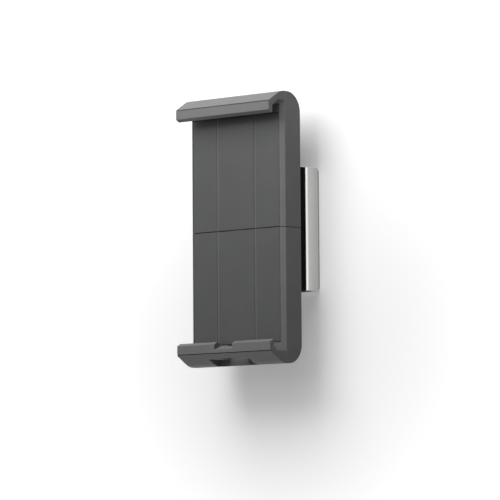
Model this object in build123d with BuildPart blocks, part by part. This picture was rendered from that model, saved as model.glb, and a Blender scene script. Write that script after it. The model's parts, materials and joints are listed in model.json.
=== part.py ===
"""Tablet wall mount: two sprung, hooked jaws on a carrier that swivels on a wall bracket.

Millimetres. X runs to the right, Y runs back to the wall, Z runs up.
The origin is the centre of the wall plate's back face, on the swivel axis.
The jaws are modelled closed and upright, as they rest.
"""
from build123d import *
import math
import os

os.makedirs("parts", exist_ok=True)

# Holder: what shows from the front and from the side
holder_width = 86.4
holder_height = 189.6
holder_depth = 19.0          # from the pads' faces to the back covers
seam_gap = 0.4               # between the closed jaws
jaw_travel = 40.0            # of each jaw
edge_bevel = 2.65            # band down the two ends of the jaws' faces
outer_rounding = 0.6         # along the outer contour's two ends

# Hook: the lip, the sloped top and the throat behind the lip
lip_reach = 14.7             # from the pads' faces to the lip's face
lip_thickness = 5.5
lip_drop = 8.0               # from the top of the jaw to the lip face's upper edge
lip_face = 6.5               # height of the lip's upright face
lip_tip_run = 3.4            # depth of the sloped face under the lip
lip_tip_slope = 28.0         # degrees
lip_lead = 1.7               # height of the lead-in bevel inside the lip
lip_groove = 0.5             # V groove along the lip face's outer edge, on either face
lip_groove_depth = 1.3       # from the edge inwards
top_slope = 31.5             # degrees, the sloped face above the lip
top_front_radius = 14.0
top_back_radius = 13.75
lip_bevel = 1.65             # up the two ends of the lip's inner face
ledge_height = 6.44          # from the top of the jaw down to the throat's ceiling
throat_facet_depth = 2.36    # 45 degree facet between ceiling and pad
throat_flat = 2.4
throat_slope = 38.0          # degrees, from the ceiling down to the lip
floor_rise = 2.0             # the lower throat's floor is thicker by this

# Front pads and their grooves
pad_thickness = 1.6
pad_side_margin = 3.2        # from the jaw's side to the pad
pad_end_margin = 6.0         # from the throat's facet to the pad
pad_gap = 0.25
pad_edge = 0.3
groove_spacing = 34.6
groove_width = 1.95
groove_fall = 0.6            # width of the groove's steep side, on the left
groove_depth = 0.36

# Jaw walls, bosses and back covers
front_wall = 1.8             # behind the pad
side_wall = 2.6
crown_height = 8.0           # hollow above the cover, inside the hook
crown_inset = 3.0
crown_ledge = 1.2            # between the hollow and the back cover
crown_radius = 7.0
cover_thickness = 2.0
cover_gap = 0.15
cover_screw_inset = 3.6      # from the cavity's side wall
cover_screw_low = 8.0        # above the seam plane
cover_screw_high = 6.0       # below the cavity's end
guide_thickness = 1.5
running_gap = 0.25           # between sliding mouldings

# Carrier, the tray that the jaws slide on
carrier_side_room = 7.6      # from the cavity's side wall to the carrier
carrier_wall = 2.4
carrier_lid = 1.5
rail_thickness = 1.5
collar_wall = 2.7
shoulder_width = 0.9
lid_boss_offset = 14.0       # from the swivel axis, beside the springs' posts
lid_end_offset = 10.0        # from the carrier's end

# Rack and pinion
gear_module = 1.5
gear_teeth = 18
dedendum = 1.25              # in modules
pressure_angle = 20.0
backlash = 0.2
gear_width = 6.0
gear_side_gap = 0.2
rack_back = 4.6              # thickness behind the teeth's roots
rack_spare = 10.0            # rack beyond its travel
foot_height = 6.0
foot_gap = 2.0               # between the carrier's end and the rack's foot
foot_end_gap = 2.0           # between the rack's foot and the cavity's end
stop_height = 3.0
stop_reach = 1.9
wing_thickness = 2.2

# Springs
spring_inset = 7.0           # from the carrier's side to the spring's axis
spring_room = 0.5            # beside each spring
spring_radius = 3.0
spring_wire = 0.9
spring_pitch = 2.1
spring_anchor = 25.0         # from the swivel axis to the carrier's post
post_radius = 1.3
loop_radius = 2.0

# Swivel
hub_radius = 15.0
hub_flange = 17.0
hub_length = 10.8            # journal inside the block
hub_notch_gap = 1.3
bolt_radius = 3.0
bolt_head = 5.2
bolt_head_height = 3.5
bolt_socket = 2.5            # radius of its hexagon socket
bolt_socket_depth = 2.1
bolt_thread = 2.5
fit_gap = 0.05               # radial, on running fits
washer_radius = 5.8
washer_thickness = 1.0
disc_spring_height = 1.2
disc_spring_thickness = 0.5
hub_wall = 3.5               # of the block, around the hub's bore
ring_thickness = 1.2
ring_stand = 0.1
ring_width = 2.0

# Wall bracket
bracket_width = 86.4
plate_thickness = 1.3
plate_corner = 3.0
channel_depth = 11.85
channel_wall = 2.0
channel_edge = 1.15          # bevel along the channel's outer front edges
block_gap = 0.1
bracket_height = 86.4
block_stand_out = 6.55
block_wall = 2.5
swivel_gap = 0.4             # between the block and the jaws' backs
wall_hole_inset = 13.2       # from the plate's edges
wall_hole_radius = 2.75
driver_radius = 5.5          # bore that a wall screw's head goes through
wall_screw_floor = 3.2       # block material under a wall screw's head
insert_radius = 4.5
insert_length = 4.6
block_screw_inset = 9.2      # from the plate's edges

# Depths, from the wall forward
plate_y = -plate_thickness
web_y = plate_y - channel_wall
channel_front_y = plate_y - channel_depth
block_front_y = channel_front_y - block_stand_out
back_y = block_front_y - swivel_gap
front_y = back_y - holder_depth
lip_front_y = front_y - lip_reach
lip_inner_y = lip_front_y + lip_thickness
pad_back_y = front_y + pad_thickness
cavity_front_y = pad_back_y + front_wall
cover_front_y = back_y - cover_thickness
carrier_back_y = cover_front_y - running_gap
carrier_front_y = cavity_front_y + running_gap
floor_y = carrier_back_y - carrier_wall
lid_y = carrier_front_y + carrier_lid
gear_front_y = lid_y + gear_side_gap * 2
gear_back_y = gear_front_y + gear_width
shoulder_y = gear_back_y + gear_side_gap

# Heights of the upper jaw; the lower jaw mirrors them
half_width = holder_width / 2
top_z = holder_height / 2
seam_z = seam_gap / 2
lip_top_z = top_z - lip_drop
lip_low_z = lip_top_z - lip_face
lip_tip_z = lip_low_z - lip_tip_run * math.tan(math.radians(lip_tip_slope))
lip_tip_y = lip_front_y + lip_tip_run
lip_edge_turn = math.radians(45 + top_slope / 2)
slope_top_y = lip_front_y + lip_drop / math.tan(math.radians(top_slope))
ceiling_z = top_z - ledge_height
ceiling_back_y = front_y - throat_facet_depth
ceiling_front_y = ceiling_back_y - throat_flat
facet_z = ceiling_z - throat_facet_depth
throat_lip_z = ceiling_z - (ceiling_front_y - lip_inner_y) * math.tan(math.radians(throat_slope))
pad_top_z = facet_z - pad_end_margin
cavity_x = half_width - side_wall
carrier_x = cavity_x - carrier_side_room
guide_x = carrier_x + running_gap
foot_z = pad_top_z - foot_end_gap - foot_height / 2
foot_low_z = foot_z - foot_height / 2
carrier_z = foot_low_z - foot_gap
cover_screw_x = cavity_x - cover_screw_inset
spring_x = carrier_x - spring_inset
rack_tail = jaw_travel + rack_spare
bracket_x = bracket_width / 2
bracket_z = bracket_height / 2
block_x = bracket_x - channel_wall

# Sizes that follow from these
pad_width = holder_width - 2 * pad_side_margin
pad_height = pad_top_z - seam_z
foot_width = 2 * (spring_x - spring_radius - spring_room)
wing_width = 2 * (spring_x + spring_radius + spring_room)
carrier_width = 2 * carrier_x
carrier_height = 2 * carrier_z

# The jaw's inner contour in the side view, from the lip's lead-in to the seam
inner_contour = [
    (lip_inner_y, lip_tip_z + lip_lead),
    (lip_inner_y, throat_lip_z),
    (ceiling_front_y, ceiling_z),
    (ceiling_back_y, ceiling_z),
    (front_y, facet_z),
    (front_y, seam_z),
]

# Screws: head radius, head height, shank radius, length
cover_screw = (2.3, 1.2, 1.2, 9.0)
lid_screw = (1.9, 1.0, 0.95, 6.0)
rack_screw = (2.3, 1.6, 1.2, 11.0)
rack_screw_spacing = 30.0
hub_screw = (1.9, 1.5, 1.2, 9.0)
hub_screw_radius = 12.2      # of the ring that the hub screws stand on
hub_screw_count = 4
block_screw = (2.8, 1.2, 1.45, 10.0)
pilot_gap = 0.05             # between a screw's shank and its pilot hole
pass_gap = 0.2               # between a screw's shank and the piece it passes
screw_end_gap = 0.6          # below a screw's tip
boss_wall = 1.75
recess_reach = 1.1           # length of the cross recess, in head radii
recess_width = 0.3

bottom = (Align.CENTER, Align.CENTER, Align.MIN)
top = (Align.CENTER, Align.CENTER, Align.MAX)


def facing(y):
    """A plane at depth y, seen from the front: extruding forward is positive."""
    return Plane.XZ.offset(-y)


def from_back(y, spots):
    """Seats at depth y that look to the wall, at (x, z) spots."""
    return [Plane(origin=(x, y, z), x_dir=(-1, 0, 0), z_dir=(0, 1, 0)) for x, z in spots]


def from_front(y, spots):
    """Seats at depth y that look to the front, at (x, z) spots."""
    return [Plane(origin=(x, y, z), x_dir=(1, 0, 0), z_dir=(0, -1, 0)) for x, z in spots]


def pan_screws(seats, size):
    """Round-headed screws with a cross recess, standing on their seats."""
    head_radius, head_height, shank_radius, length = size
    with BuildPart() as screws:
        with Locations(*seats):
            Cylinder(head_radius, head_height, align=bottom)
            Cylinder(shank_radius, length, align=top)
        with Locations(*[seat.offset(head_height) for seat in seats]):
            Box(head_radius * recess_reach, head_radius * recess_width, head_height, mode=Mode.SUBTRACT)
            Box(head_radius * recess_width, head_radius * recess_reach, head_height, mode=Mode.SUBTRACT)
    return screws


def countersunk_screws(seats, size):
    """Flat-headed screws with a cross recess, their heads level with the seats."""
    head_radius, head_height, shank_radius, length = size
    with BuildPart() as screws:
        with Locations(*seats):
            Cone(shank_radius, head_radius, head_height, align=top)
            Cylinder(shank_radius, length, align=top)
            Box(head_radius * recess_reach, head_radius * recess_width, head_height, mode=Mode.SUBTRACT)
            Box(head_radius * recess_width, head_radius * recess_reach, head_height, mode=Mode.SUBTRACT)
    return screws


def sink_holes(seats, size, depth):
    """Countersinks and clearance holes for flat-headed screws, cut where this is called."""
    head_radius, head_height, shank_radius, _ = size
    with Locations(*seats):
        Cylinder(shank_radius + pass_gap, depth, align=top, mode=Mode.SUBTRACT)
        Cone(shank_radius + pilot_gap, head_radius + pilot_gap, head_height + pilot_gap,
             align=top, mode=Mode.SUBTRACT)


# Upper jaw, a hooked moulding that is open at the back and at the seam
back_screw_spots = [(side * cover_screw_x, z) for side in (-1, 1)
                    for z in (cover_screw_low, pad_top_z - cover_screw_high)]
rack_screw_spots = [(side * rack_screw_spacing / 2, foot_z) for side in (-1, 1)]
cover_boss_radius = cover_screw[2] + boss_wall
rack_boss_radius = rack_screw[2] + boss_wall

with BuildPart() as upper_jaw:
    with BuildSketch(Plane.YZ) as side_view:
        with BuildLine():
            Polyline(
                *inner_contour,
                (back_y, seam_z),
                (back_y, top_z),
                (slope_top_y, top_z),
                (lip_front_y + lip_groove * math.cos(math.radians(top_slope)),
                 lip_top_z + lip_groove * math.sin(math.radians(top_slope))),
                (lip_front_y + lip_groove_depth * math.sin(lip_edge_turn),
                 lip_top_z - lip_groove_depth * math.cos(lip_edge_turn)),
                (lip_front_y, lip_top_z - lip_groove),
                (lip_front_y, lip_low_z),
                (lip_tip_y, lip_tip_z),
                close=True,
            )
        make_face()
        fillet(side_view.vertices().sort_by_distance((back_y, top_z, 0))[0], top_back_radius)
        fillet(side_view.vertices().sort_by_distance((slope_top_y, top_z, 0))[0], top_front_radius)
    extrude(amount=half_width, both=True)
    band_ends = [
        upper_jaw.edges().sort_by_distance((side * half_width, (y0 + y1) / 2, (z0 + z1) / 2))[0]
        for side in (-1, 1)
        for (y0, z0), (y1, z1) in (inner_contour[3:5], inner_contour[4:6])
    ]
    chamfer(band_ends, length=edge_bevel)
    lip_middle_z = (lip_tip_z + lip_lead + throat_lip_z) / 2
    lip_ends = [upper_jaw.edges().sort_by_distance((side * half_width, lip_inner_y, lip_middle_z))[0]
                for side in (-1, 1)]
    chamfer(lip_ends, length=lip_bevel)
    lip_corners = upper_jaw.edges().filter_by(Axis.Z).group_by(Axis.Y)[0]
    fillet(lip_corners, outer_rounding)
    with BuildSketch(facing(front_y)):
        with Locations((0, seam_z)):
            Rectangle(pad_width + 2 * pad_gap, pad_height + pad_gap, align=(Align.CENTER, Align.MIN))
    extrude(amount=-pad_thickness, mode=Mode.SUBTRACT)
    with BuildSketch(facing(back_y)):
        with Locations((0, seam_z)):
            Rectangle(2 * cavity_x, pad_height, align=(Align.CENTER, Align.MIN))
    extrude(amount=back_y - cavity_front_y, mode=Mode.SUBTRACT)
    with BuildSketch(Plane.YZ) as crown:
        with Locations((cover_front_y - crown_ledge, pad_top_z)):
            Rectangle(cover_front_y - pad_back_y - crown_inset - crown_ledge, crown_height,
                      align=(Align.MAX, Align.MIN))
        fillet(crown.vertices().group_by(Axis.Y)[-1].sort_by(Axis.X)[-1], crown_radius)
    extrude(amount=cavity_x - crown_inset, both=True, mode=Mode.SUBTRACT)
    with BuildSketch(facing(cavity_front_y)):
        with Locations(*back_screw_spots):
            Circle(cover_boss_radius)
        for side in (-1, 1):
            with Locations((side * (guide_x + guide_thickness / 2), seam_z)):
                Rectangle(guide_thickness, pad_height, align=(Align.CENTER, Align.MIN))
    extrude(amount=cavity_front_y - cover_front_y)
    with BuildSketch(facing(cavity_front_y)):
        with Locations(*rack_screw_spots):
            Circle(rack_boss_radius)
    extrude(amount=cavity_front_y - gear_front_y)
    with Locations(*from_back(cover_front_y, back_screw_spots)):
        Hole(cover_screw[2] + pilot_gap, cover_screw[3] - cover_thickness + screw_end_gap)
    with Locations(*from_back(gear_front_y, rack_screw_spots)):
        Hole(rack_screw[2] + pilot_gap, rack_screw[3] - gear_width - wing_thickness + screw_end_gap / 2)
upper_jaw.part.label = "upper_jaw"
export_step(upper_jaw.part, "parts/upper_jaw.step")

# Lower jaw: the same moulding, with a way for a cable through its hook
cable_slot_width = 16.3
cable_floor_front = 10.9     # from the bottom of the jaw up to the notch's front edge
cable_floor_back = 13.2
plug_pocket_width = 36.0
plug_pocket_height = 4.5     # from the bottom of the jaw up to the pocket's ceiling
plug_pocket_back = 2.5       # from the pads' faces back to the pocket's rear wall
pocket_back_y = front_y + plug_pocket_back
pocket_ceiling_z = -top_z + plug_pocket_height

with BuildPart() as lower_jaw:
    mirror(upper_jaw.part, about=Plane.XY)
    with BuildSketch(Plane.YZ):
        with Locations((lip_inner_y, -ceiling_z)):
            Rectangle(front_y + edge_bevel - lip_inner_y, floor_rise, align=(Align.MIN, Align.MIN))
    extrude(amount=half_width, both=True)
    with BuildSketch(Plane.YZ):
        with BuildLine():
            Polyline(
                (lip_front_y, -top_z + cable_floor_front),
                (lip_inner_y, -top_z + cable_floor_back),
                (lip_inner_y, -top_z),
                (pocket_back_y, -top_z),
                (pocket_back_y, -pad_top_z),
                (front_y, -pad_top_z),
                (front_y, lip_lead - lip_tip_z),
                (lip_front_y, lip_lead - lip_tip_z),
                close=True,
            )
        make_face()
    extrude(amount=cable_slot_width / 2, both=True, mode=Mode.SUBTRACT)
    with BuildSketch(facing(pocket_back_y)):
        with Locations((0, pocket_ceiling_z)):
            Rectangle(plug_pocket_width, 2 * plug_pocket_height, align=(Align.CENTER, Align.MAX))
    extrude(amount=pocket_back_y - lip_front_y, mode=Mode.SUBTRACT)
lower_jaw.part.label = "lower_jaw"
export_step(lower_jaw.part, "parts/lower_jaw.step")

# Front pads, let into the jaws' faces
with BuildPart() as upper_front_pad:
    with BuildSketch(facing(pad_back_y)):
        with Locations((0, seam_z)):
            Rectangle(pad_width, pad_height, align=(Align.CENTER, Align.MIN))
    extrude(amount=pad_thickness)
    face_edges = upper_front_pad.faces().sort_by(Axis.Y)[0].edges()
    chamfer(face_edges, length=pad_edge)
    with BuildSketch(Plane.XY.offset(seam_z)):
        for side in (-1, 1):
            with Locations((side * groove_spacing / 2, front_y)):
                Polygon((-groove_width / 2, 0), (groove_width / 2, 0),
                        (groove_fall - groove_width / 2, groove_depth), align=None)
    extrude(amount=pad_height, mode=Mode.SUBTRACT)
upper_front_pad.part.label = "upper_front_pad"
export_step(upper_front_pad.part, "parts/upper_front_pad.step")

with BuildPart() as lower_front_pad:
    mirror(upper_front_pad.part, about=Plane.XY)
lower_front_pad.part.label = "lower_front_pad"
export_step(lower_front_pad.part, "parts/lower_front_pad.step")

# Back covers, each with half of the round opening for the swivel hub
with BuildPart() as upper_back_cover:
    with BuildSketch(facing(back_y)):
        with Locations((0, seam_z)):
            Rectangle(2 * (cavity_x - cover_gap), pad_height - cover_gap, align=(Align.CENTER, Align.MIN))
        Circle(hub_flange + hub_notch_gap, mode=Mode.SUBTRACT)
    extrude(amount=cover_thickness)
    sink_holes(from_back(back_y, back_screw_spots), cover_screw, cover_thickness)
upper_back_cover.part.label = "upper_back_cover"
export_step(upper_back_cover.part, "parts/upper_back_cover.step")

with BuildPart() as lower_back_cover:
    mirror(upper_back_cover.part, about=Plane.XY)
lower_back_cover.part.label = "lower_back_cover"
export_step(lower_back_cover.part, "parts/lower_back_cover.step")

for name, direction in (("upper", 1), ("lower", -1)):
    spots = [(x, direction * z) for x, z in back_screw_spots]
    cover_screws = countersunk_screws(from_back(back_y, spots), cover_screw)
    cover_screws.part.label = f"{name}_cover_screws"
    export_step(cover_screws.part, f"parts/{name}_cover_screws.step")

# Pinion with involute teeth; one tooth points straight at each rack
pitch_radius = gear_module * gear_teeth / 2
tip_radius = pitch_radius + gear_module
root_radius = pitch_radius - dedendum * gear_module
tooth_pitch = math.pi * gear_module
tooth_thickness = tooth_pitch / 2 - backlash / 2
alpha = math.radians(pressure_angle)
base_radius = pitch_radius * math.cos(alpha)
collar_radius = washer_radius + 2 * running_gap + collar_wall
flank_steps = 4


def gap_half_angle(radius):
    """Half the angle between two teeth's facing flanks, at a radius."""
    slip = math.acos(min(1.0, base_radius / radius))
    half_tooth = tooth_thickness / (2 * pitch_radius) + math.tan(alpha) - alpha
    return math.pi / gear_teeth - half_tooth + math.tan(slip) - slip


def polar(radius, angle):
    return (radius * math.cos(angle), radius * math.sin(angle))


flank_radii = [base_radius + (tip_radius + running_gap - base_radius) * (step / flank_steps) ** 2
               for step in range(flank_steps + 1)]
with BuildSketch() as tooth_gap:
    with BuildLine():
        right_flank = Spline(*[polar(r, -gap_half_angle(r)) for r in flank_radii])
        left_flank = Spline(*[polar(r, gap_half_angle(r)) for r in flank_radii])
        Polyline(
            left_flank @ 0,
            polar(root_radius, gap_half_angle(base_radius)),
            polar(root_radius, -gap_half_angle(base_radius)),
            right_flank @ 0,
        )
        Line(left_flank @ 1, right_flank @ 1)
    make_face()

with BuildPart() as pinion:
    with BuildSketch(facing(gear_back_y)):
        Circle(tip_radius)
        Circle(collar_radius + fit_gap, mode=Mode.SUBTRACT)
        with PolarLocations(0, gear_teeth, start_angle=180 / gear_teeth):
            add(tooth_gap.sketch, mode=Mode.SUBTRACT)
    extrude(amount=gear_width)
pinion.part.label = "pinion"
export_step(pinion.part, "parts/pinion.step")

# Racks: the upper jaw's rack runs down the pinion's left side, the lower jaw's up its right
rack_root_x = -pitch_radius - dedendum * gear_module
rack_tip_x = -pitch_radius + gear_module
rack_back_x = rack_root_x - rack_back
tooth_root_half = tooth_thickness / 2 + dedendum * gear_module * math.tan(alpha)
tooth_tip_half = tooth_thickness / 2 - gear_module * math.tan(alpha)
first_tooth = -math.ceil((jaw_travel + tooth_pitch) / tooth_pitch)
last_tooth = 1
stop_top_z = stop_height - rack_tail

with BuildPart() as upper_rack:
    with BuildSketch(facing(gear_back_y)) as rack_outline:
        with Locations((rack_root_x, -rack_tail)):
            Rectangle(rack_back, rack_tail + foot_low_z, align=(Align.MAX, Align.MIN))
        for tooth in range(first_tooth, last_tooth + 1):
            with Locations((rack_root_x, (tooth + 0.5) * tooth_pitch)):
                Polygon(
                    (0, -tooth_root_half),
                    (rack_tip_x - rack_root_x, -tooth_tip_half),
                    (rack_tip_x - rack_root_x, tooth_tip_half),
                    (0, tooth_root_half),
                    align=None,
                )
        with Locations((0, foot_z)):
            Rectangle(foot_width, foot_height)
        with Locations((rack_back_x, -rack_tail)):
            Rectangle(stop_reach, stop_height, align=(Align.MAX, Align.MIN))
    extrude(amount=gear_width)
    with BuildSketch(facing(gear_back_y)):
        with Locations((0, foot_z)):
            Rectangle(wing_width, foot_height)
    extrude(amount=-wing_thickness)
    with BuildSketch(facing(gear_back_y)):
        with Locations((-spring_x, foot_z), (spring_x, foot_z)):
            Circle(post_radius)
    extrude(amount=gear_width - gear_side_gap)
    with Locations(*from_back(gear_back_y + wing_thickness, rack_screw_spots)):
        Hole(rack_screw[2] + pass_gap)
upper_rack.part.label = "upper_rack"
export_step(upper_rack.part, "parts/upper_rack.step")

with BuildPart() as lower_rack:
    add(upper_rack.part, rotation=(0, 180, 0))
lower_rack.part.label = "lower_rack"
export_step(lower_rack.part, "parts/lower_rack.step")

for name, direction in (("upper", 1), ("lower", -1)):
    spots = [(x, direction * z) for x, z in rack_screw_spots]
    rack_screws = pan_screws(from_back(gear_back_y + wing_thickness, spots), rack_screw)
    rack_screws.part.label = f"{name}_rack_screws"
    export_step(rack_screws.part, f"parts/{name}_rack_screws.step")

# Carrier: an open tray with rails for the racks and a collar that the pinion turns on
rail_x = -rack_back_x + running_gap
ledge_width = rack_back - 2 * running_gap
stop_face_z = stop_top_z + jaw_travel + running_gap
rail_stretches = [(-carrier_z, -rack_tail - running_gap), (stop_face_z, carrier_z)]
head_bore_radius = collar_radius - collar_wall
lid_boss_radius = lid_screw[2] + boss_wall
lid_spots = [(side * spring_x, end * lid_boss_offset) for side in (-1, 1) for end in (-1, 1)]
lid_spots += [(side * (pitch_radius + rack_back), side * (carrier_z - lid_end_offset)) for side in (-1, 1)]
post_spots = [(side * spring_x, end * spring_anchor) for side in (-1, 1) for end in (-1, 1)]
hub_screw_spots = [polar(hub_screw_radius, 2 * math.pi * (step + 0.5) / hub_screw_count)
                   for step in range(hub_screw_count)]

with BuildPart() as slide_carrier:
    with BuildSketch(facing(carrier_back_y)):
        Rectangle(carrier_width, carrier_height)
    extrude(amount=carrier_wall)
    with BuildSketch(facing(floor_y)):
        for side in (-1, 1):
            with Locations((side * (carrier_x - carrier_wall / 2), 0)):
                Rectangle(carrier_wall, carrier_height)
            for low, high in rail_stretches:
                with Locations((side * (rail_x + rail_thickness / 2), -side * (low + high) / 2)):
                    Rectangle(rail_thickness, high - low)
        with Locations(*lid_spots):
            Circle(lid_boss_radius)
        with Locations(*post_spots):
            Circle(post_radius)
        Circle(collar_radius)
    extrude(amount=floor_y - lid_y)
    with BuildSketch(facing(floor_y)):
        for side in (-1, 1):
            with Locations((side * (-rack_root_x + rack_back / 2), 0)):
                Rectangle(ledge_width, carrier_height)
        Circle(collar_radius + shoulder_width)
    extrude(amount=floor_y - shoulder_y)
    with Locations(*from_front(lid_y, [(0, 0)])):
        CounterBoreHole(bolt_radius + pass_gap, head_bore_radius, floor_y - lid_y)
    with Locations(*from_front(floor_y, hub_screw_spots)):
        Hole(hub_screw[2] + pass_gap, carrier_wall)
    with Locations(*from_front(lid_y, lid_spots)):
        Hole(lid_screw[2] + pilot_gap, lid_screw[3] - carrier_lid + screw_end_gap)
    upright_edges = slide_carrier.edges().filter_by(Axis.Z)
    fillet(upright_edges.group_by(Axis.Y)[-1], outer_rounding)
slide_carrier.part.label = "slide_carrier"
export_step(slide_carrier.part, "parts/slide_carrier.step")

with BuildPart() as carrier_cover:
    with BuildSketch(facing(lid_y)):
        Rectangle(carrier_width, carrier_height)
        Circle(head_bore_radius, mode=Mode.SUBTRACT)
    extrude(amount=carrier_lid)
    upright_edges = carrier_cover.edges().filter_by(Axis.Z)
    fillet(upright_edges.group_by(Axis.Y)[0], outer_rounding)
    sink_holes(from_front(carrier_front_y, lid_spots), lid_screw, carrier_lid)
carrier_cover.part.label = "carrier_cover"
export_step(carrier_cover.part, "parts/carrier_cover.step")

carrier_cover_screws = countersunk_screws(from_front(carrier_front_y, lid_spots), lid_screw)
carrier_cover_screws.part.label = "carrier_cover_screws"
export_step(carrier_cover_screws.part, "parts/carrier_cover_screws.step")

# Springs between the carrier's posts and the racks' feet, as ribbed bars with a loop at each end
spring_y = (gear_front_y + gear_back_y) / 2
spring_length = foot_z - spring_anchor - 2 * loop_radius
turns = math.floor(spring_length / spring_pitch)


def spring(x, direction):
    """A closed extension spring at x; direction is 1 above the swivel axis and -1 below."""
    start_z = spring_anchor + loop_radius
    valley = spring_radius - spring_wire
    coil = [((spring_radius if step % 2 else valley), start_z + step * spring_length / (2 * turns))
            for step in range(2 * turns + 1)]
    with BuildPart() as body:
        with BuildSketch(Plane(origin=(x, spring_y, 0), x_dir=(1, 0, 0), z_dir=(0, -1, 0))):
            with BuildLine():
                Polyline(
                    (0, direction * start_z),
                    *[(radius, direction * z) for radius, z in coil],
                    (0, direction * (start_z + spring_length)),
                    close=True,
                )
            make_face()
        revolve(axis=Axis((x, spring_y, 0), (0, 0, 1)))
        with Locations(*from_front(spring_y, [(x, direction * spring_anchor), (x, direction * foot_z)])):
            Torus(loop_radius, spring_wire / 2)
    return body


for name, direction in (("upper", 1), ("lower", -1)):
    for side_name, side in (("left", -1), ("right", 1)):
        body = spring(side * spring_x, direction)
        body.part.label = f"{name}_spring_{side_name}"
        export_step(body.part, f"parts/{name}_spring_{side_name}.step")

# Swivel: the hub turns in the block's bore and is held by a shoulder bolt
hub_back_y = block_front_y - ring_stand
journal_end_y = hub_back_y + hub_length
bore_end_y = journal_end_y + running_gap
washer_y = floor_y - disc_spring_height
bolt_seat_y = washer_y - washer_thickness

with BuildPart() as swivel_hub:
    with BuildSketch(facing(hub_back_y)):
        Circle(hub_flange)
    extrude(amount=hub_back_y - carrier_back_y)
    with BuildSketch(facing(hub_back_y)):
        Circle(hub_radius)
    extrude(amount=-hub_length)
    chamfer(swivel_hub.edges().group_by(Axis.Y)[-1], length=screw_end_gap)
    with Locations(*from_front(carrier_back_y, [(0, 0)])):
        Hole(bolt_radius + fit_gap)
    with Locations(*from_front(carrier_back_y, hub_screw_spots)):
        Hole(hub_screw[2] + pilot_gap, hub_screw[3] - carrier_wall + screw_end_gap)
swivel_hub.part.label = "swivel_hub"
export_step(swivel_hub.part, "parts/swivel_hub.step")

hub_screws = pan_screws(from_front(floor_y, hub_screw_spots), hub_screw)
hub_screws.part.label = "hub_screws"
export_step(hub_screws.part, "parts/hub_screws.step")

with BuildPart() as disc_spring:
    with BuildSketch(Plane.XY):
        with BuildLine():
            Polyline(
                (bolt_radius + pass_gap, washer_y),
                (bolt_radius + pass_gap, washer_y + disc_spring_thickness),
                (washer_radius - pass_gap, floor_y),
                (washer_radius - pass_gap, floor_y - disc_spring_thickness),
                close=True,
            )
        make_face()
    revolve(axis=Axis.Y)
disc_spring.part.label = "disc_spring"
export_step(disc_spring.part, "parts/disc_spring.step")

with BuildPart() as pivot_washer:
    with BuildSketch(facing(washer_y)):
        Circle(washer_radius)
        Circle(bolt_radius + pass_gap, mode=Mode.SUBTRACT)
    extrude(amount=washer_thickness)
pivot_washer.part.label = "pivot_washer"
export_step(pivot_washer.part, "parts/pivot_washer.step")

with BuildPart() as pivot_bolt:
    with BuildSketch(facing(bolt_seat_y)):
        Circle(bolt_head)
    extrude(amount=bolt_head_height)
    chamfer(pivot_bolt.edges().group_by(Axis.Y)[0], length=pad_edge)
    with BuildSketch(facing(bolt_seat_y)):
        Circle(bolt_radius)
    extrude(amount=bolt_seat_y - bore_end_y)
    with BuildSketch(facing(bore_end_y)):
        Circle(bolt_thread)
    extrude(amount=running_gap - insert_length)
    with BuildSketch(facing(bolt_seat_y - bolt_head_height)):
        RegularPolygon(bolt_socket, 6)
    extrude(amount=-bolt_socket_depth, mode=Mode.SUBTRACT)
pivot_bolt.part.label = "pivot_bolt"
export_step(pivot_bolt.part, "parts/pivot_bolt.step")

with BuildPart() as threaded_insert:
    with BuildSketch(facing(bore_end_y)):
        Circle(insert_radius)
        Circle(bolt_thread + fit_gap, mode=Mode.SUBTRACT)
    extrude(amount=-insert_length)
threaded_insert.part.label = "threaded_insert"
export_step(threaded_insert.part, "parts/threaded_insert.step")

ring_inner = hub_radius + running_gap
ring_outer = ring_inner + ring_width
with BuildPart() as friction_ring:
    with BuildSketch(facing(hub_back_y)):
        Circle(ring_outer)
        Circle(ring_inner, mode=Mode.SUBTRACT)
    extrude(amount=-ring_thickness)
friction_ring.part.label = "friction_ring"
export_step(friction_ring.part, "parts/friction_ring.step")

# Wall bracket: a moulded block in an aluminium channel on a thin wall plate
corner_spots = [(side * (bracket_x - wall_hole_inset), end * (bracket_z - wall_hole_inset))
                for side in (-1, 1) for end in (-1, 1)]
block_screw_spots = [(side * (bracket_x - block_screw_inset), 0) for side in (-1, 1)]
block_screw_spots += [(0, end * (bracket_z - block_screw_inset)) for end in (-1, 1)]
block_half_width = block_x - block_gap
block_screw_depth = block_screw[3] + plate_y - channel_wall + screw_end_gap
bore_boss = block_half_width - block_wall - corner_spots[-1][0]   # half its width, out to the block's walls
screw_boss = block_screw[2] + boss_wall

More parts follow.
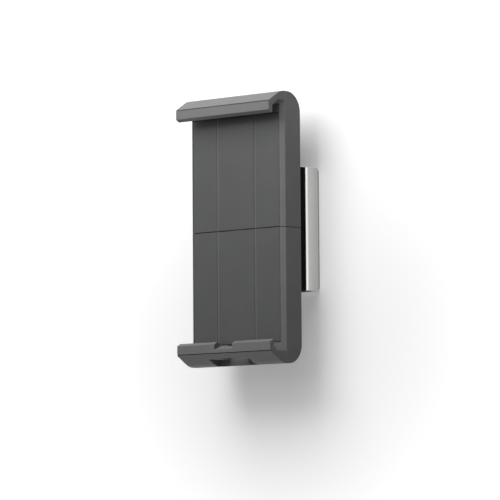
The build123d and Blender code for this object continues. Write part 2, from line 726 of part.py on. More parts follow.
with BuildPart() as pivot_block:
    with BuildSketch(facing(web_y)):
        Rectangle(2 * block_half_width, bracket_height)
    extrude(amount=web_y - block_front_y)
    fillet(pivot_block.faces().sort_by(Axis.Y)[0].edges(), outer_rounding)
    with BuildSketch(facing(web_y)):
        Rectangle(2 * (block_half_width - block_wall), bracket_height - 2 * block_wall)
        Circle(hub_radius + hub_wall, mode=Mode.SUBTRACT)
        Rectangle(2 * block_half_width, block_wall, mode=Mode.SUBTRACT)
        Rectangle(block_wall, bracket_height, mode=Mode.SUBTRACT)
        with Locations(*corner_spots):
            Rectangle(2 * bore_boss, 2 * bore_boss, mode=Mode.SUBTRACT)
        with Locations(*block_screw_spots):
            Rectangle(2 * screw_boss, 2 * screw_boss, mode=Mode.SUBTRACT)
    extrude(amount=web_y - block_front_y - block_wall, mode=Mode.SUBTRACT)
    with Locations(*from_front(block_front_y, [(0, 0)])):
        CounterBoreHole(hub_radius + fit_gap, ring_outer + fit_gap, ring_thickness - ring_stand,
                        bore_end_y - block_front_y)
    with Locations(*from_front(bore_end_y, [(0, 0)])):
        Hole(insert_radius + fit_gap, insert_length)
    with Locations(*from_front(block_front_y, corner_spots)):
        CounterBoreHole(wall_hole_radius, driver_radius, web_y - wall_screw_floor - block_front_y,
                        web_y - block_front_y)
    with Locations(*from_back(web_y, block_screw_spots)):
        Hole(block_screw[2] + pilot_gap, block_screw_depth)
pivot_block.part.label = "pivot_block"
export_step(pivot_block.part, "parts/pivot_block.step")

with BuildPart() as bracket_channel:
    with BuildSketch(Plane.XY.offset(-bracket_z)):
        with Locations((0, plate_y)):
            Rectangle(bracket_width, channel_depth, align=(Align.CENTER, Align.MAX))
        with Locations((0, web_y)):
            Rectangle(2 * block_x, channel_depth, align=(Align.CENTER, Align.MAX), mode=Mode.SUBTRACT)
    extrude(amount=bracket_height)
    rims = bracket_channel.edges().filter_by(Axis.Z).group_by(Axis.Y)[0].sort_by(Axis.X)
    chamfer([rims[0], rims[-1]], length=channel_edge)
    with Locations(*from_front(web_y, corner_spots)):
        Hole(wall_hole_radius, channel_wall)
    with Locations(*from_front(web_y, block_screw_spots)):
        Hole(block_screw[2] + pass_gap, channel_wall)
bracket_channel.part.label = "bracket_channel"
export_step(bracket_channel.part, "parts/bracket_channel.step")

with BuildPart() as wall_plate:
    with BuildSketch(facing(0)):
        RectangleRounded(bracket_width, bracket_height, plate_corner)
        with Locations(*corner_spots):
            Circle(wall_hole_radius, mode=Mode.SUBTRACT)
    extrude(amount=plate_thickness)
    sink_holes(from_back(0, block_screw_spots), block_screw, plate_thickness)
wall_plate.part.label = "wall_plate"
export_step(wall_plate.part, "parts/wall_plate.step")

block_screws = countersunk_screws(from_back(0, block_screw_spots), block_screw)
block_screws.part.label = "block_screws"
export_step(block_screws.part, "parts/block_screws.step")
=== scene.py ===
"""Looks of the tablet wall mount: grained mouldings, brushed bracket, wound springs and cut screws.

Metres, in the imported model's own frame. X runs to the right, Y runs back to the wall, Z runs up.
"""
import json
import math

import bmesh
import bpy
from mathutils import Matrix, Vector

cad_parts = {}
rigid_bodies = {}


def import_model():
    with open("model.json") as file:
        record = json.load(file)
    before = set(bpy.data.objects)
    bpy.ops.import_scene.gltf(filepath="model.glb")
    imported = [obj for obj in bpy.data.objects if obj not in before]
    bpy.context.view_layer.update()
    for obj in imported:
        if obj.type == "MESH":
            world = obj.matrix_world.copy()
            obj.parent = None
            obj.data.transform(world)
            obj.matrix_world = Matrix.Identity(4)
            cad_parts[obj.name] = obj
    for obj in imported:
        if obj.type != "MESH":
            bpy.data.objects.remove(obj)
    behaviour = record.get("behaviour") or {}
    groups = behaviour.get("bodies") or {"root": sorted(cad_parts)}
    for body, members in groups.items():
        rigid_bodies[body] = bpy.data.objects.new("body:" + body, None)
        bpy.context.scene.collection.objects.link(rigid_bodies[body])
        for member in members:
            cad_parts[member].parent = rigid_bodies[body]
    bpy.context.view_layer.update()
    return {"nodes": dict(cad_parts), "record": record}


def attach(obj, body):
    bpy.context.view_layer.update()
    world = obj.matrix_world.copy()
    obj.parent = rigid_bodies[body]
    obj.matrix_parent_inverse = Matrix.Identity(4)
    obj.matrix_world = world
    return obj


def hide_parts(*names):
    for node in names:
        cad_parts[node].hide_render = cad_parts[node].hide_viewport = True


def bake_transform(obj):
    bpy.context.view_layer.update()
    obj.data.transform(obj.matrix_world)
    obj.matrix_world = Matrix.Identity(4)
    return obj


mm = 0.001
for leftover in list(bpy.data.objects):
    bpy.data.objects.remove(leftover)
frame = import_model()
nodes = frame["nodes"]
scene = bpy.context.scene


# Node trees, for materials and for geometry

# The Mix node's sockets for two numbers and for two colours, with the output of each
NUMBER_A, NUMBER_B, NUMBER_OUT = 2, 3, 0
COLOUR_A, COLOUR_B, COLOUR_OUT = 6, 7, 2
# Most of a noise's values lie between these
NOISE_LOW, NOISE_HIGH = 0.3, 0.7


def put(tree, kind, inputs=None, **settings):
    """Adds a node to a tree. Its inputs take plain values or other nodes' outputs."""
    added = tree.nodes.new(kind)
    for name, value in settings.items():
        setattr(added, name, value)
    for key, value in (inputs or {}).items():
        if isinstance(value, bpy.types.NodeSocket):
            tree.links.new(value, added.inputs[key])
        else:
            added.inputs[key].default_value = value
    return added


def calc(tree, operation, *terms):
    """One step of arithmetic in a tree."""
    return put(tree, "ShaderNodeMath", dict(enumerate(terms)), operation=operation).outputs[0]


def times(tree, value, factor):
    """A number in a tree, multiplied."""
    return calc(tree, "MULTIPLY", value, factor)


def vector(tree, **axes):
    """A vector with the axes that are given, and 0 on the others."""
    return put(tree, "ShaderNodeCombineXYZ", axes).outputs[0]


def map_range(tree, value, low, high, to_low, to_high, **settings):
    """A number moved from one range to another."""
    return put(tree, "ShaderNodeMapRange", {
        "Value": value, "From Min": low, "From Max": high, "To Min": to_low, "To Max": to_high},
        **settings).outputs[0]


# Finishes

def new_finish(name, roughness, metallic=0.0, gloss=0.5):
    """A material with nothing yet but its shader, and its node tree."""
    finish = bpy.data.materials.new(name)
    finish.use_nodes = True
    shader = finish.node_tree.nodes["Principled BSDF"]
    shader.inputs["Roughness"].default_value = roughness
    shader.inputs["Metallic"].default_value = metallic
    shader.inputs["Specular IOR Level"].default_value = gloss
    return finish, finish.node_tree


def link_finish(finish, colour, roughness, bumps):
    """Gives a finish's shader its colour, roughness and bumps."""
    tree = finish.node_tree
    shader = tree.nodes["Principled BSDF"]
    for value, socket in ((colour, "Base Color"), (roughness, "Roughness"), (bumps, "Normal")):
        tree.links.new(value, shader.inputs[socket])
    return finish


def object_place(tree, stretch=(1, 1, 1)):
    """Where a point lies on the object, stretched for a pattern that runs one way."""
    here = put(tree, "ShaderNodeTexCoord").outputs["Object"]
    return put(tree, "ShaderNodeMapping", {"Vector": here, "Scale": stretch}).outputs[0]


def object_axes(tree):
    """The X, Y and Z of a point on the object."""
    return put(tree, "ShaderNodeSeparateXYZ", {0: object_place(tree)}).outputs


def mottle(tree, place, size, detail=2.0, rough=0.5):
    """Soft noise, from 0 to 1, whose spots are about `size` across."""
    return put(tree, "ShaderNodeTexNoise", {
        "Vector": place, "Scale": 1 / size, "Detail": detail, "Roughness": rough}).outputs["Fac"]


def blended(tree, first, second, share):
    """Two patterns in one, with `share` of the first."""
    return calc(tree, "MULTIPLY_ADD", first, share, times(tree, second, 1 - share))


def spread(tree, noise, low, high):
    """A noise's usual values, stretched from low to high."""
    return map_range(tree, noise, NOISE_LOW, NOISE_HIGH, low, high)


def shades(tree, noise, colour, variation):
    """A colour that a noise makes a little darker and lighter."""
    dark = [c * (1 - variation) for c in colour] + [1]
    light = [c * (1 + variation) for c in colour] + [1]
    mixed = put(tree, "ShaderNodeMix", {
        "Factor": spread(tree, noise, 0.0, 1.0), COLOUR_A: dark, COLOUR_B: light},
        data_type="RGBA")
    return mixed.outputs[COLOUR_OUT]


def relief(tree, noise, depth):
    """Bumps as deep as `depth`."""
    return put(tree, "ShaderNodeBump", {
        "Height": noise, "Distance": depth, "Strength": 1.0}).outputs[0]


def grained_plastic(name, colour, roughness, grain=0.35 * mm, depth=0.02 * mm, variation=0.05,
                    gloss=0.45):
    """Moulded plastic with a fine eroded grain, which dulls its shine, and faint flow marks."""
    finish, tree = new_finish(name, roughness, gloss=gloss)
    place = object_place(tree)
    pits = mottle(tree, place, grain, 3.0, 0.6)
    flow_marks = mottle(tree, place, 14 * mm, 3.0)
    return link_finish(
        finish,
        shades(tree, blended(tree, pits, flow_marks, 0.4), colour, variation),
        spread(tree, blended(tree, pits, flow_marks, 0.5), roughness - 0.06, roughness + 0.06),
        relief(tree, pits, depth))


def smooth_plastic(name, colour, roughness):
    """Unpainted plastic off a polished tool, with faint clouds and upright streaks."""
    finish, tree = new_finish(name, roughness)
    clouds = mottle(tree, object_place(tree), 9 * mm, 4.0)
    streaks = mottle(tree, object_place(tree, (1, 1, 0.25)), 0.9 * mm)
    return link_finish(
        finish,
        shades(tree, clouds, colour, 0.03),
        spread(tree, streaks, roughness - 0.05, roughness + 0.08),
        relief(tree, streaks, 0.004 * mm))


def brushed_metal(name, colour, roughness, variation=0.12):
    """Metal with fine upright brush lines, and broader ones under them."""
    finish, tree = new_finish(name, roughness, metallic=1.0)
    line = 0.16 * mm
    place = object_place(tree, (1, 1, 0.012))
    fine = mottle(tree, place, line, 3.0, 0.7)
    broad = mottle(tree, place, line * 9)
    lines = blended(tree, fine, broad, 0.6)
    return link_finish(
        finish,
        shades(tree, lines, colour, variation),
        spread(tree, lines, roughness - 0.08, roughness + 0.1),
        relief(tree, fine, 0.006 * mm))


def plated_metal(name, colour, roughness):
    """Zinc-plated or drawn metal with a faintly cloudy skin and tiny scuffs."""
    finish, tree = new_finish(name, roughness, metallic=1.0)
    place = object_place(tree)
    clouds = mottle(tree, place, 1.6 * mm, 4.0)
    scuffs = mottle(tree, place, 0.12 * mm, 3.0)
    return link_finish(
        finish,
        shades(tree, clouds, colour, 0.08),
        spread(tree, clouds, roughness - 0.08, roughness + 0.12),
        relief(tree, scuffs, 0.003 * mm))


# Painted highlights and painted shade, laid on a finish's colour where a mask says

def tone_where(finish, where, elsewhere, level):
    """Multiplies a finish's colour by `level` where `where` is 1, and by `elsewhere` where not."""
    tree = finish.node_tree
    base = tree.nodes["Principled BSDF"].inputs["Base Color"]
    chosen = put(tree, "ShaderNodeMix", {"Factor": where, NUMBER_A: elsewhere, NUMBER_B: level},
                 data_type="FLOAT").outputs[NUMBER_OUT]
    toned = put(tree, "ShaderNodeVectorMath", {0: base.links[0].from_socket, 1: chosen},
                operation="MULTIPLY")
    tree.links.new(toned.outputs[0], base)
    return finish


def painted_bevel_highlight_and_wall_shade(finish, bevel_end, wall_end, bevel, front, back):
    """Paints the front bevel of a brushed piece bright, a painted highlight, and paints its sides
    darker towards the wall, as painted shade.

    The bevel lies before y = bevel_end. The sides go from `front` there to `back` at wall_end.
    """
    tree = finish.node_tree
    y = object_axes(tree)["Y"]
    side = map_range(tree, y, bevel_end, wall_end, front, back)
    return tone_where(finish, calc(tree, "LESS_THAN", y, bevel_end), side, bevel)


def painted_highlight_bands(finish, place, slack, face, level):
    """Paints the bevel bands at both ends of the jaws' faces lighter, behind y = face: a painted
    highlight for the light that falls on them.

    On these bands |x| - y is `place`, give or take `slack`.
    """
    tree = finish.node_tree
    axes = object_axes(tree)
    across = calc(tree, "SUBTRACT", calc(tree, "ABSOLUTE", axes["X"]), axes["Y"])
    on_band = calc(tree, "COMPARE", across, place, slack)
    behind_face = calc(tree, "GREATER_THAN", axes["Y"], face)
    return tone_where(finish, times(tree, on_band, behind_face), 1.0, level)


def painted_highlight_grooves(finish, spacing, start, width, level):
    """Paints the gentle side of the pads' two grooves lighter, a painted highlight for the light
    that falls on it.

    The grooves are `spacing` apart. Their gentle sides begin `start` from their middles.
    """
    tree = finish.node_tree
    x = calc(tree, "WRAP", object_axes(tree)["X"], spacing, 0.0)
    from_side = calc(tree, "SUBTRACT", x, spacing / 2 + start + width / 2)
    on_side = calc(tree, "LESS_THAN", calc(tree, "ABSOLUTE", from_side), width / 2)
    return tone_where(finish, on_side, 1.0, level)


# The jaws' bevel bands carry a painted highlight, lighter by `level`.
jaw_finish = painted_highlight_bands(
    grained_plastic("grained grey moulding", (0.160, 0.161, 0.162), 0.45, gloss=0.06),
    place=79.65 * mm, slack=0.12 * mm, face=-39.2 * mm, level=1.32)
# The pads' grooves carry a painted highlight on their gentle sides.
pad_finish = painted_highlight_grooves(
    grained_plastic("dark soft-touch pad", (0.0725, 0.0735, 0.075), 0.40, grain=0.22 * mm,
                    depth=0.008 * mm, variation=0.04, gloss=0.25),
    spacing=34.6 * mm, start=-0.2 * mm, width=1.1 * mm, level=1.45)
tray_finish = grained_plastic("black glass-filled moulding", (0.030, 0.030, 0.032), 0.48,
                              grain=0.5 * mm, depth=0.015 * mm, variation=0.1)
block_finish = grained_plastic("black grained block", (0.0022, 0.0022, 0.0022), 0.6,
                               grain=0.4 * mm, depth=0.02 * mm, variation=0.1, gloss=0.03)
gear_finish = smooth_plastic("natural gear plastic", (0.70, 0.69, 0.64), 0.36)
ring_finish = smooth_plastic("waxy bearing plastic", (0.58, 0.58, 0.54), 0.44)
# The bracket's front bevel carries a painted highlight, and its sides carry painted shade towards
# the wall.
channel_finish = painted_bevel_highlight_and_wall_shade(
    brushed_metal("aluminium brushed upright", (1.0, 0.993, 0.98), 0.34, variation=0.07),
    bevel_end=-12.42 * mm, wall_end=-3.3 * mm, bevel=0.85, front=0.63, back=0.53)
plate_finish = brushed_metal("steel brushed upright", (0.33, 0.327, 0.320), 0.38)
screw_finish = plated_metal("zinc-plated steel", (0.60, 0.60, 0.60), 0.3)
spring_finish = plated_metal("drawn spring steel", (0.42, 0.42, 0.43), 0.28)
insert_finish = plated_metal("turned brass", (0.72, 0.53, 0.25), 0.3)

finishes = {
    "jaw_plastic": jaw_finish, "pad_rubber": pad_finish, "inner_plastic": tray_finish,
    "gear_plastic": gear_finish, "block_plastic": block_finish, "bearing_plastic": ring_finish,
    "channel_aluminium": channel_finish, "plate_steel": plate_finish, "screw_steel": screw_finish,
    "spring_steel": spring_finish, "insert_brass": insert_finish,
}
slots = {part["node"]: part["material_slot"] for part in frame["record"]["subparts"]}
for name, node in nodes.items():
    for material_slot in node.material_slots:
        material_slot.material = finishes[slots[name]]


# Shapes that the geometry trees are made of

def cone(tree, sides, top, bottom, height, rows=1):
    """A round bar or cone that stands on z = 0."""
    return put(tree, "GeometryNodeMeshCone", {
        "Vertices": sides, "Side Segments": rows, "Radius Top": top, "Radius Bottom": bottom,
        "Depth": height}).outputs["Mesh"]


def circle(tree, radius, corners):
    """A flat ring, as a line to follow or as a wire's section."""
    return put(tree, "GeometryNodeCurvePrimitiveCircle", {"Resolution": corners, "Radius": radius},
               mode="RADIUS").outputs[0]


def coil(tree, radius, turns, height, steps):
    """A line that winds up from z = 0, with `steps` points a turn."""
    return put(tree, "GeometryNodeCurveSpiral", {
        "Resolution": steps, "Rotations": turns, "Start Radius": radius, "End Radius": radius,
        "Height": height}).outputs[0]


def wire_along(tree, line, section):
    """A solid wire along a line, with closed ends."""
    return put(tree, "GeometryNodeCurveToMesh", {
        "Curve": line, "Profile Curve": section, "Fill Caps": True}).outputs[0]


def raised(tree, shape, height, turned=(0, 0, 0)):
    """A shape that is turned and then moved up."""
    return put(tree, "GeometryNodeTransform", {
        "Geometry": shape, "Rotation": turned, "Translation": vector(tree, Z=height)}).outputs[0]


def widened(tree, shape, width_at):
    """A shape whose width changes with its height, by the factor that width_at gives."""
    here = put(tree, "GeometryNodeInputPosition").outputs[0]
    width = width_at(put(tree, "ShaderNodeSeparateXYZ", {0: here}).outputs["Z"])
    factors = vector(tree, X=width, Y=width, Z=1.0)
    there = put(tree, "ShaderNodeVectorMath", {0: here, 1: factors}, operation="MULTIPLY")
    return put(tree, "GeometryNodeSetPosition", {
        "Geometry": shape, "Position": there.outputs[0]}).outputs[0]


def pick(tree, kind, switch, if_on, if_off):
    """One of two sizes or shapes."""
    return put(tree, "GeometryNodeSwitch", {"Switch": switch, "False": if_off, "True": if_on},
               input_type=kind).outputs[0]


def joined(tree, shapes):
    """Several shapes as one."""
    whole = put(tree, "GeometryNodeJoinGeometry")
    for shape in shapes:
        tree.links.new(shape, whole.inputs[0])
    return whole.outputs[0]


# Screws and springs, each wound and cut by one tree

def geometry_tree(name, sizes):
    """An empty geometry tree with a named input for each size, and the sockets of its inputs."""
    kinds = {float: "Float", int: "Int", bool: "Bool", tuple: "Vector"}
    tree = bpy.data.node_groups.new(name, "GeometryNodeTree")
    tree.interface.new_socket("Geometry", in_out="INPUT", socket_type="NodeSocketGeometry")
    for label, value in sizes.items():
        socket = tree.interface.new_socket(label, in_out="INPUT",
                                           socket_type="NodeSocket" + kinds[type(value)])
        socket.default_value = value
    tree.interface.new_socket("Finish", in_out="INPUT", socket_type="NodeSocketMaterial")
    tree.interface.new_socket("Geometry", in_out="OUTPUT", socket_type="NodeSocketGeometry")
    return tree, put(tree, "NodeGroupInput").outputs


def end_tree(tree, size, copies):
    """Makes the copies real, gives them their finish and hands them out."""
    solid = put(tree, "GeometryNodeRealizeInstances", {0: copies}).outputs[0]
    dressed = put(tree, "GeometryNodeSetMaterial", {"Geometry": solid, "Material": size["Finish"]})
    put(tree, "NodeGroupOutput", {0: dressed.outputs[0]})
    return tree


def screw_head(tree, size, core):
    """A sunk head that ends at z = 0, or a domed pan head that stands on it."""
    sides, rows = 40, 8
    dome_power, dome_narrowing = 4.0, 0.22
    radius, height = size["Head Radius"], size["Head Height"]

    def domed(z):
        level = calc(tree, "DIVIDE", z, height)
        narrowing = times(tree, calc(tree, "POWER", level, dome_power), dome_narrowing)
        return calc(tree, "SUBTRACT", 1.0, narrowing)

    sunk = raised(tree, cone(tree, sides, radius, core, height), times(tree, height, -1))
    pan = widened(tree, cone(tree, sides, radius, radius, height, rows), domed)
    return pick(tree, "GEOMETRY", size["Sunk Head"], sunk, pan)


def cross_recess(tree, size):
    """The cutter of a cross recess, which narrows on its way into the head."""
    depth_share, width_inside, width_outside = 1.1, 0.55, 1.3
    long = times(tree, size["Head Radius"], size["Recess Reach"])
    thin = times(tree, size["Head Radius"], size["Recess Width"])
    deep = times(tree, size["Head Height"], depth_share)

    def tapered(z):
        return map_range(tree, z, times(tree, deep, -0.5), times(tree, deep, 0.5),
                         width_inside, width_outside)

    bars = [put(tree, "GeometryNodeMeshCube", {"Size": vector(tree, X=x, Y=y, Z=deep)})
            for x, y in ((long, thin), (thin, long))]
    cross = put(tree, "GeometryNodeMeshBoolean", {"Mesh 2": bars[0].outputs["Mesh"]},
                operation="UNION")
    tree.links.new(bars[1].outputs["Mesh"], cross.inputs["Mesh 2"])
    head_top = pick(tree, "FLOAT", size["Sunk Head"], 0.0, size["Head Height"])
    return raised(tree, widened(tree, cross.outputs[0], tapered), head_top)


def screw_shank(tree, size, core):
    """The shaft, its point and its thread, all below z = 0."""
    sides, thread_steps, ridge_corners = 24, 16, 4
    tip_share, tip_end_share, neck_share = 1.3, 0.45, 1.2
    tip = times(tree, size["Shank Radius"], tip_share)
    length = calc(tree, "SUBTRACT", size["Length"], tip)
    foot = times(tree, length, -1)
    shaft = raised(tree, cone(tree, sides, core, core, length), foot)
    point = raised(tree, cone(tree, sides, core, times(tree, core, tip_end_share), tip),
                   times(tree, size["Length"], -1))
    neck = times(tree, size["Head Height"], neck_share)
    threaded = calc(tree, "SUBTRACT", length, neck)
    turns = calc(tree, "DIVIDE", threaded, size["Thread Pitch"])
    winding = raised(tree, coil(tree, core, turns, threaded, thread_steps), foot)
    thread = wire_along(tree, winding, circle(tree, size["Thread Depth"], ridge_corners))
    return [shaft, point, thread]


def screw_tree():
    """Cross-recess screws, one on each point, each turned its own way."""
    tree, size = geometry_tree("cross recess screws", {
        "Head Radius": 2.3 * mm, "Head Height": 1.6 * mm, "Sunk Head": False,
        "Shank Radius": 1.2 * mm, "Length": 9 * mm, "Thread Pitch": 1.1 * mm,
        "Thread Depth": 0.3 * mm, "Recess Reach": 1.1, "Recess Width": 0.3,
        "Facing": (0.0, 1.0, 0.0), "Seed": 3})
    core = calc(tree, "SUBTRACT", size["Shank Radius"], size["Thread Depth"])
    head = put(tree, "GeometryNodeMeshBoolean", {
        "Mesh 1": screw_head(tree, size, core), "Mesh 2": cross_recess(tree, size)},
        operation="DIFFERENCE").outputs[0]
    screw = joined(tree, [head] + screw_shank(tree, size, core))

    aim = put(tree, "FunctionNodeAlignRotationToVector", {"Vector": size["Facing"]}, axis="Z")
    placed = put(tree, "GeometryNodeInstanceOnPoints", {
        "Points": size["Geometry"], "Instance": screw, "Rotation": aim.outputs[0]})
    random_turn = put(tree, "FunctionNodeRandomValue", {
        "Min": 0.0, "Max": math.tau, "Seed": size["Seed"]}, data_type="FLOAT").outputs[1]
    own_turn = put(tree, "FunctionNodeEulerToRotation", {0: vector(tree, Z=random_turn)})
    turned = put(tree, "GeometryNodeRotateInstances", {
        "Instances": placed.outputs[0], "Rotation": own_turn.outputs[0], "Local Space": True})
    return end_tree(tree, size, turned.outputs[0])


def spring_tree():
    """An extension spring on each point: a wound body with a round loop at each end."""
    tree, size = geometry_tree("wound extension springs", {
        "Coil Radius": 2.55 * mm, "Wire Radius": 0.45 * mm, "Body Length": 46 * mm, "Turns": 21.0,
        "Loop Radius": 2.0 * mm})
    coil_steps, loop_steps, bend_steps, wire_corners = 20, 28, 12, 8
    on_edge = (math.pi / 2, 0, 0)
    radius, loop_radius = size["Coil Radius"], size["Loop Radius"]
    half = times(tree, size["Body Length"], 0.5)
    body = coil(tree, radius, size["Turns"], size["Body Length"], coil_steps)
    wires = [raised(tree, body, times(tree, half, -1))]
    for end in (-1, 1):
        edge = times(tree, half, end)
        centre = calc(tree, "MULTIPLY_ADD", loop_radius, end, edge)
        wires.append(raised(tree, circle(tree, loop_radius, loop_steps), centre, on_edge))
        bend = put(tree, "GeometryNodeCurvePrimitiveBezierSegment", {
            "Resolution": bend_steps,
            "Start": vector(tree, X=radius, Z=edge),
            "Start Handle": vector(tree, X=times(tree, radius, 0.95),
                                   Y=times(tree, radius, 0.5 * end), Z=edge),
            "End Handle": vector(tree, X=times(tree, loop_radius, 0.6), Z=edge),
            "End": vector(tree, Z=edge)}, mode="POSITION")
        wires.append(bend.outputs[0])
    spring = wire_along(tree, joined(tree, wires), circle(tree, size["Wire Radius"], wire_corners))
    placed = put(tree, "GeometryNodeInstanceOnPoints", {
        "Points": size["Geometry"], "Instance": spring})
    return end_tree(tree, size, placed.outputs[0])


# Pieces grown from the trees

def drop_loose_points(mesh):
    """Deletes the points that a cut leaves on no face."""
    shape = bmesh.new()
    shape.from_mesh(mesh)
    loose = [point for point in shape.verts if not point.link_faces]
    bmesh.ops.delete(shape, geom=loose, context="VERTS")
    shape.to_mesh(mesh)
    shape.free()


def smooth_by_angle(mesh):
    """Shades soft bends smooth and keeps the rest crisp."""
    crisp_from = math.radians(32.0)
    for face in mesh.polygons:
        face.use_smooth = True
    mesh.set_sharp_from_angle(angle=crisp_from)


def grow(name, spots, tree, values, body, replaced):
    """Runs a geometry tree on a set of points and keeps the result as a plain mesh.
    """
    seats = bpy.data.meshes.new(name + "_seats")
    seats.from_pydata([Vector(spot) for spot in spots], [], [])
    carrier = bpy.data.objects.new(name + "_seats", seats)
    scene.collection.objects.link(carrier)
    modifier = carrier.modifiers.new("build", "NODES")
    modifier.node_group = tree
    for item in tree.interface.items_tree:
        if item.in_out == "INPUT" and item.name in values:
            modifier[item.identifier] = values[item.name]
    bpy.context.view_layer.update()
    made = carrier.evaluated_get(bpy.context.evaluated_depsgraph_get())
    mesh = bpy.data.meshes.new_from_object(made)
    bpy.data.objects.remove(carrier)
    drop_loose_points(mesh)
    smooth_by_angle(mesh)
    piece = bpy.data.objects.new(name, mesh)
    scene.collection.objects.link(piece)
    if isinstance(body, str):
        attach(piece, body)
    else:
        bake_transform(piece)
    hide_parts(*replaced)


def at(x, y, z):
    """A point given in millimetres."""
    return (x * mm, y * mm, z * mm)


screws = screw_tree()
springs = spring_tree()
sunk_cover_screw = {"Head Radius": 2.3 * mm, "Head Height": 1.2 * mm, "Sunk Head": True,
                    "Shank Radius": 1.2 * mm, "Length": 9 * mm}
sunk_lid_screw = {"Head Radius": 1.9 * mm, "Head Height": 1.0 * mm, "Sunk Head": True,
                  "Shank Radius": 0.95 * mm, "Length": 6 * mm, "Thread Pitch": 0.9 * mm,
                  "Thread Depth": 0.25 * mm}
pan_rack_screw = {"Head Radius": 2.3 * mm, "Head Height": 1.6 * mm, "Shank Radius": 1.2 * mm,
                  "Length": 11 * mm}
pan_hub_screw = {"Head Radius": 1.9 * mm, "Head Height": 1.5 * mm, "Shank Radius": 1.2 * mm,
                 "Length": 9 * mm}
sunk_block_screw = {"Head Radius": 2.8 * mm, "Head Height": 1.2 * mm, "Sunk Head": True,
                    "Shank Radius": 1.45 * mm, "Length": 10 * mm, "Thread Pitch": 1.3 * mm,
                    "Thread Depth": 0.35 * mm}
to_wall, to_front = (0.0, 1.0, 0.0), (0.0, -1.0, 0.0)

# Seats of the screws and springs in millimetres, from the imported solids
cover_face_y, cover_screw_x, cover_screw_z = -20.1, (-37, 37), (8, 74)
rack_face_y, rack_screw_x, rack_screw_z = -25.35, (-15, 15), 75
lid_face_y, lid_screw_x, lid_screw_z = -35.45, (-26, 26), (-14, 14)
lid_end_screw_x, lid_end_screw_z = 18.1, 60
hub_face_y, hub_screw_reach = -24.75, 12.2 * math.sqrt(0.5)
plate_face_y, block_screw_reach = 0, 34
spring_y, spring_x, spring_middle_z = -30.55, (-26, 26), 50
spring_still_z, spring_pulled_z = 27, 73


def drive(name, spots, kind, facing, body, seed):
    """Puts one kind of screw on its seats, in place of the plain ones."""
    values = dict(kind, Facing=facing, Seed=seed, Finish=screw_finish)
    grow(name + "_threaded", spots, screws, values, body, [name])


for side, sign in (("upper", 1), ("lower", -1)):
    drive(side + "_cover_screws",
          [at(x, cover_face_y, sign * z) for x in cover_screw_x for z in cover_screw_z],
          sunk_cover_screw, to_wall, side + "_jaw", seed=5 + sign)
    drive(side + "_rack_screws",
          [at(x, rack_face_y, sign * rack_screw_z) for x in rack_screw_x],
          pan_rack_screw, to_wall, side + "_jaw", seed=9 + sign)
    grow(side + "_springs_wound",
         [at(x, spring_y, sign * spring_middle_z) for x in spring_x],
         springs, {"Finish": spring_finish},
         ("carrier", side + "_jaw", at(0, spring_y, sign * spring_still_z),
          at(0, spring_y, sign * spring_pulled_z)),
         [side + "_spring_left", side + "_spring_right"])
drive("carrier_cover_screws",
      [at(x, lid_face_y, z) for x in lid_screw_x for z in lid_screw_z]
      + [at(sign * lid_end_screw_x, lid_face_y, sign * lid_end_screw_z) for sign in (-1, 1)],
      sunk_lid_screw, to_front, "carrier", seed=2)
drive("hub_screws",
      [at(x * hub_screw_reach, hub_face_y, z * hub_screw_reach) for x in (-1, 1) for z in (-1, 1)],
      pan_hub_screw, to_front, "carrier", seed=4)
drive("block_screws",
      [at(x * block_screw_reach, plate_face_y, z * block_screw_reach)
       for x, z in ((-1, 0), (1, 0), (0, -1), (0, 1))],
      sunk_block_screw, to_wall, "wall_base", seed=7)


# Wall, light and camera

white = (1, 1, 1, 1)


def seen_directly(tree):
    """1 on rays from the eye, a mirror or glass, and 0 on the light's own rays."""
    path = put(tree, "ShaderNodeLightPath").outputs
    straight = calc(tree, "MAXIMUM", path["Is Camera Ray"], path["Is Glossy Ray"])
    return calc(tree, "MAXIMUM", straight, path["Is Transmission Ray"])


def either(tree, amount, first, second):
    """The first shader where the amount is 0, the second where it is 1."""
    return put(tree, "ShaderNodeMixShader", {0: amount, 1: first, 2: second}).outputs[0]


def wall_paint():
    """White paint that glows more the farther out it lies, so that the soft shadow fades to white.

    It is clear from behind.
    """
    near, far = 60 * mm, 380 * mm
    near_lift, far_lift = 0.235, 0.95
    pigment = (0.8, 0.8, 0.8, 1)
    paint = bpy.data.materials.new("white wall paint")
    paint.use_nodes = True
    tree = paint.node_tree
    tree.nodes.clear()
    plain = put(tree, "ShaderNodeBsdfDiffuse", {"Color": pigment}).outputs[0]
    here = put(tree, "ShaderNodeTexCoord").outputs["Object"]
    away = put(tree, "ShaderNodeVectorMath", {0: here}, operation="LENGTH").outputs["Value"]
    glow = map_range(tree, away, near, far, near_lift, far_lift, interpolation_type="SMOOTHSTEP")
    lift = put(tree, "ShaderNodeEmission", {"Color": white, "Strength": glow}).outputs[0]
    lifted = put(tree, "ShaderNodeAddShader", {0: plain, 1: lift}).outputs[0]
    clear = put(tree, "ShaderNodeBsdfTransparent").outputs[0]
    behind = put(tree, "ShaderNodeNewGeometry").outputs["Backfacing"]
    shown = either(tree, behind, either(tree, seen_directly(tree), plain, lifted), clear)
    put(tree, "ShaderNodeOutputMaterial", {"Surface": shown})
    return paint


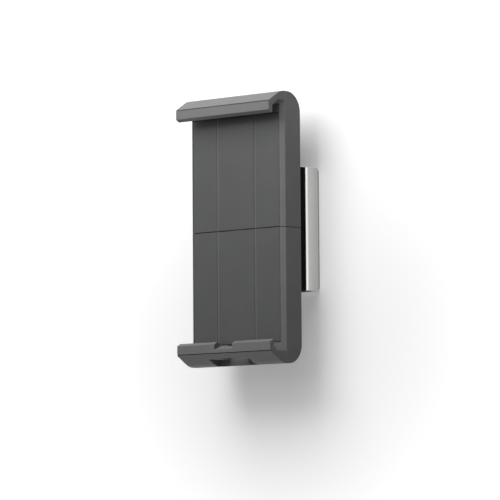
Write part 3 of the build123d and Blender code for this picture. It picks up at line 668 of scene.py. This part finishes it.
def wall_face():
    """A wide wall just behind the plate, with a cut-out that the plate hides."""
    reach, gap, setback = 2.5, 40 * mm, 0.1 * mm
    turns = ((-1, -1), (1, -1), (1, 1), (-1, 1))
    corners = [(x * half, setback, z * half) for half in (reach, gap) for x, z in turns]
    sides = [(i, (i + 1) % 4, 4 + (i + 1) % 4, 4 + i) for i in range(4)]
    mesh = bpy.data.meshes.new("wall")
    mesh.from_pydata(corners, [], sides)
    mesh.materials.append(wall_paint())
    wall = bpy.data.objects.new("wall", mesh)
    scene.collection.objects.link(wall)


def studio_air():
    """Even soft light from all round, on a white surround."""
    light_strength, surround_strength = 0.09, 1.0
    world = bpy.data.worlds.new("studio")
    world.use_nodes = True
    scene.world = world
    tree = world.node_tree
    tree.nodes.clear()
    soft, surround = [
        put(tree, "ShaderNodeBackground", {"Color": white, "Strength": strength}).outputs[0]
        for strength in (light_strength, surround_strength)]
    put(tree, "ShaderNodeOutputWorld", {
        "Surface": either(tree, seen_directly(tree), soft, surround)})


def soft_lamp(name, azimuth, elevation, distance, size, power, aim_height=0.0):
    """A square soft lamp that looks at the object's middle, or `aim_height` above it."""
    middle_y = -30 * mm
    data = bpy.data.lights.new(name, "AREA")
    data.shape, data.size, data.energy = "SQUARE", size, power
    lamp = bpy.data.objects.new(name, data)
    scene.collection.objects.link(lamp)
    a, e = math.radians(azimuth), math.radians(elevation)
    back = Vector((math.sin(a) * math.cos(e), -math.cos(a) * math.cos(e), math.sin(e)))
    lamp.location = Vector((0, middle_y, aim_height)) + back * distance
    lamp.rotation_euler = back.to_track_quat("Z", "Y").to_euler()
    lamp.visible_camera = False


wall_face()
studio_air()
soft_lamp("key", -18, 38, distance=0.48, size=0.4, power=2.6, aim_height=60 * mm)
soft_lamp("front fill", -10, 12, distance=0.5, size=0.35, power=0.34, aim_height=60 * mm)
soft_lamp("right fill", 30, 38, distance=0.38, size=0.3, power=0.58, aim_height=70 * mm)
soft_lamp("floor glow", -20, -82, distance=1.4, size=0.7, power=5.9)
soft_lamp("rear fill", 180, 15, distance=1.2, size=1.08, power=6.0)

camera = bpy.data.objects.new("camera", bpy.data.cameras.new("camera"))
scene.collection.objects.link(camera)
camera.location = (1.609831, -1.895118, -0.224276)
camera.rotation_euler = [math.radians(angle) for angle in (94.892120, 0.401532, 40.747369)]
camera.data.sensor_width = 36.0
camera.data.lens = 253.504
camera.data.clip_end = 50.0
scene.camera = camera
scene.view_settings.view_transform = "Standard"
